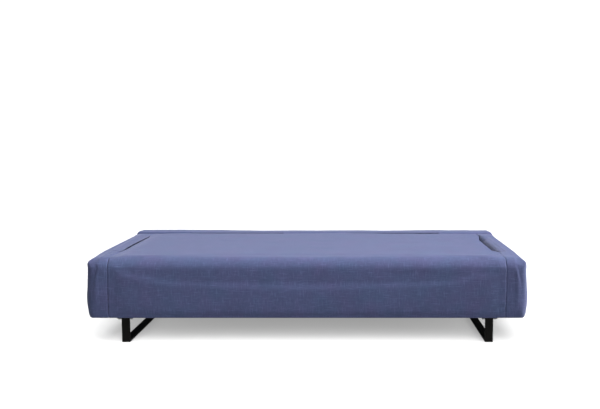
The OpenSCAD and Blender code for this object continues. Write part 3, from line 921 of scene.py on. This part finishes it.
def make_underside():
    """The cloth stapled under the frame, cut out round the legs' plates."""
    plate_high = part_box("leg_plates")[1]
    sled_low, sled_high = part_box("right_sled")
    mid_x = (sled_low.x + sled_high.x) / 2
    half_x = plate_high.x - mid_x + PLATE_GAP
    plate_y = read_points(frame["nodes"]["leg_plates"].data)[:, 1]
    inner_y = float(plate_y[plate_y > 0].min()) - PLATE_GAP
    cuts_x = [s * (mid_x + k * half_x) for s in (-1, 1) for k in (-1, 1)]
    gx = even_steps(sorted([-RAIL_X, RAIL_X, *cuts_x]))
    gy = even_steps([-RAIL_Y, -inner_y, inner_y, RAIL_Y])
    x, y = np.meshgrid(gx, gy, indexing="ij")
    z = CLOTH_TOP - 0.0002 - sag(x, y)
    n, m = x.shape
    number = np.arange(n * m).reshape(n, m)
    cx, cy = (gx[:-1] + gx[1:]) / 2, (gy[:-1] + gy[1:]) / 2
    hole = (np.abs(np.abs(cx) - mid_x) < half_x)[:, None] & (np.abs(cy) > inner_y)[None, :]
    keep = ~hole.ravel()
    quads = np.stack([number[:-1, :-1], number[:-1, 1:], number[1:, 1:], number[1:, :-1]], -1)
    quads = quads.reshape(-1, 4)[keep]
    points = np.stack([x.ravel(), y.ravel(), z.ravel()], 1)
    used = np.unique(quads)
    back = -np.ones(len(points), int)
    back[used] = np.arange(len(used))
    quads = back[quads]
    points = points[used]
    made = mesh_object("underside_cloth", points, quads, points[quads][:, :, :2])
    solid = made.modifiers.new("thickness", "SOLIDIFY")
    solid.thickness = CLOTH_T
    solid.offset = 1.0
    dress(made, SPUNBOND)
    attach(made, "base")
    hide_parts("bottom_cloth")


def make_staples():
    """Flat staples that hold the cloth to the rails, clear of the legs' plates."""
    half = Vector((STAPLE_L / 2, STAPLE_W / 2, STAPLE_T / 2))
    z = CLOTH_TOP - 0.0014
    edge_x, edge_y = RAIL_X - STAPLE_INSET, RAIL_Y - STAPLE_INSET
    plates = read_points(frame["nodes"]["leg_plates"].data)
    inner, outer = np.abs(plates[:, 0]).min() - STAPLE_L, np.abs(plates[:, 0]).max() + STAPLE_L
    places = []
    for x in np.arange(-edge_x + STAPLE_INSET, edge_x, STAPLE_PITCH):
        if not inner < abs(x) < outer:
            places += [(x, s * edge_y, False) for s in (-1, 1)]
    for y in np.arange(-edge_y + STAPLE_PITCH, edge_y - STAPLE_INSET, STAPLE_PITCH):
        places += [(s * edge_x, y, True) for s in (-1, 1)]
    corners = [(a, b, c) for c in (-1, 1) for a, b in ((-1, -1), (1, -1), (1, 1), (-1, 1))]
    sides = [(0, 3, 2, 1), (4, 5, 6, 7), (0, 1, 5, 4), (1, 2, 6, 5), (2, 3, 7, 6), (3, 0, 4, 7)]
    points, quads = [], []
    for x, y, turned in places:
        hx, hy = (half.y, half.x) if turned else (half.x, half.y)
        quads += [tuple(k + len(points) for k in side) for side in sides]
        points += [(x + a * hx, y + b * hy, z + c * half.z) for a, b, c in corners]
    made = mesh_object("cloth_staples", points, quads)
    made.data.shade_flat()
    dress(made, ZINC)
    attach(made, "base")


make_underside()
make_staples()

# ---------- finish the CAD nodes that stay ----------

STEEL_EDGE = 0.0009                         # width of the eased edge on the painted bar
SLOT_OF = {s["node"]: s["material_slot"] for s in frame["record"]["subparts"]}
for node_name, node_object in frame["nodes"].items():
    node_object.data.materials.clear()
    node_object.data.materials.append(SLOT_MATERIAL[SLOT_OF[node_name]])

for node_name in ("left_sled", "right_sled", "leg_plates"):
    edge = frame["nodes"][node_name].modifiers.new("eased_edges", "BEVEL")
    edge.width = STEEL_EDGE
    edge.segments = 2
    edge.limit_method = "ANGLE"

# ---------- stage ----------

FLOOR_HALF = 60
CAMERA_PLACE = (0.198, -HALF_D - 3.57, 1.022)
CAMERA_DOWN = 0.0982                        # tilt below level, in radians
CAMERA_LENS = 45.96
CAMERA_SHIFT = -0.0811
WORLD_LIGHT = 0.076                         # strength that lights the object
WORLD_SEEN = 1.05                           # strength that the camera sees

def make_floor():
    h = FLOOR_HALF
    floor = mesh_object("floor", [(-h, -h, 0), (h, -h, 0), (h, h, 0), (-h, h, 0)], [(0, 1, 2, 3)])
    n = Nodes("pale_floor")
    place = n.node("ShaderNodeTexCoord").outputs["Object"]
    seen = n.node("ShaderNodeLightPath").outputs["Is Camera Ray"]
    tone = n.stretch(seen, 0.0, 1.0, 0.11, 0.25)
    tone = n.math("MULTIPLY", tone, n.stretch(n.noise(place, 0.6, 2.0), 0.3, 0.7, 0.98, 1.02))
    n.link(n.join(tone, tone, tone), n.shader.inputs["Base Color"])
    n.set(Roughness=0.9, Emission_Strength=n.stretch(seen, 0.0, 1.0, 0.0, 0.30))
    n.shader.inputs["Emission Color"].default_value = (1, 1, 1, 1)
    floor.data.materials.append(n.material)
    return floor


def make_light(name, kind, place, target, energy, **settings):
    lamp = bpy.data.lights.new(name, kind)
    lamp.energy = energy
    for key, value in settings.items():
        setattr(lamp, key, value)
    made = bpy.data.objects.new(name, lamp)
    made.location = place
    made.rotation_euler = (Vector(target) - Vector(place)).to_track_quat("-Z", "Y").to_euler()
    bpy.context.scene.collection.objects.link(made)
    return made


def make_world():
    world = bpy.data.worlds.new("studio")
    bpy.context.scene.world = world
    world.use_nodes = True
    tree = world.node_tree
    seen = tree.nodes.new("ShaderNodeLightPath").outputs["Is Camera Ray"]
    level = tree.nodes.new("ShaderNodeMapRange")
    level.inputs["To Min"].default_value = WORLD_LIGHT
    level.inputs["To Max"].default_value = WORLD_SEEN
    tree.links.new(seen, level.inputs["Value"])
    tree.links.new(level.outputs["Result"], tree.nodes["Background"].inputs["Strength"])
    tint = tree.nodes.new("ShaderNodeMix")
    tint.data_type = "RGBA"
    tint.inputs[6].default_value = (0.88, 0.95, 1.15, 1)
    tint.inputs[7].default_value = (1, 1, 1, 1)
    tree.links.new(seen, tint.inputs["Factor"])
    tree.links.new(tint.outputs[2], tree.nodes["Background"].inputs["Color"])


def make_camera():
    data = bpy.data.cameras.new("camera")
    data.sensor_width = 36.0
    data.lens = CAMERA_LENS
    data.shift_x = CAMERA_SHIFT
    made = bpy.data.objects.new("camera", data)
    made.location = CAMERA_PLACE
    made.rotation_euler = (math.radians(90) - CAMERA_DOWN, 0, 0)
    bpy.context.scene.collection.objects.link(made)
    bpy.context.scene.camera = made


floor = make_floor()
make_world()
# The floor and the sofa have lights of their own, so that each keeps the photograph's tone.
overhead = make_light("overhead", "SUN", (3.2, -0.5, 4), (0, 0, 0), 6.6, angle=math.radians(50))
above_floor = make_light("above_floor", "SUN", (0.3, -0.45, 4), (0, 0, 0), 5.6, angle=math.radians(62))
low_front = make_light("low_front", "SUN", (0.5, -4, 2.3), (0, 0, 0), 11.5, angle=math.radians(60))
front_fill = make_light("front_fill", "AREA", (0, -HALF_D - 1.3, 0.75), (0, -HALF_D, 0.30), 3.4,
                        size=1.0, color=(0.86, 0.93, 1.0))
side_window = make_light("side_window", "AREA", (2.6, -0.4, 2.2), (0, 0, 0.4), 45.0, size=1.2,
                         color=(0.90, 0.94, 1.0))
low_right = make_light("low_right", "SUN", (4, -1.6, 1.3), (0, 0, 0), 5.0, angle=math.radians(36))
low_left = make_light("low_left", "SUN", (-4, -1.6, 1.3), (0, 0, 0), 3.0, angle=math.radians(36))
floor_only = bpy.data.collections.new("floor_only")
floor_only.objects.link(floor)
for lamp in (above_floor, low_front, low_right, low_left):
    lamp.light_linking.receiver_collection = floor_only
sofa_only = bpy.data.collections.new("sofa_only")
for piece in bpy.context.scene.objects:
    if piece.type == "MESH" and piece is not floor:
        sofa_only.objects.link(piece)
for lamp in (overhead, front_fill, side_window):
    lamp.light_linking.receiver_collection = sofa_only
make_camera()
bpy.context.scene.view_settings.view_transform = "Standard"
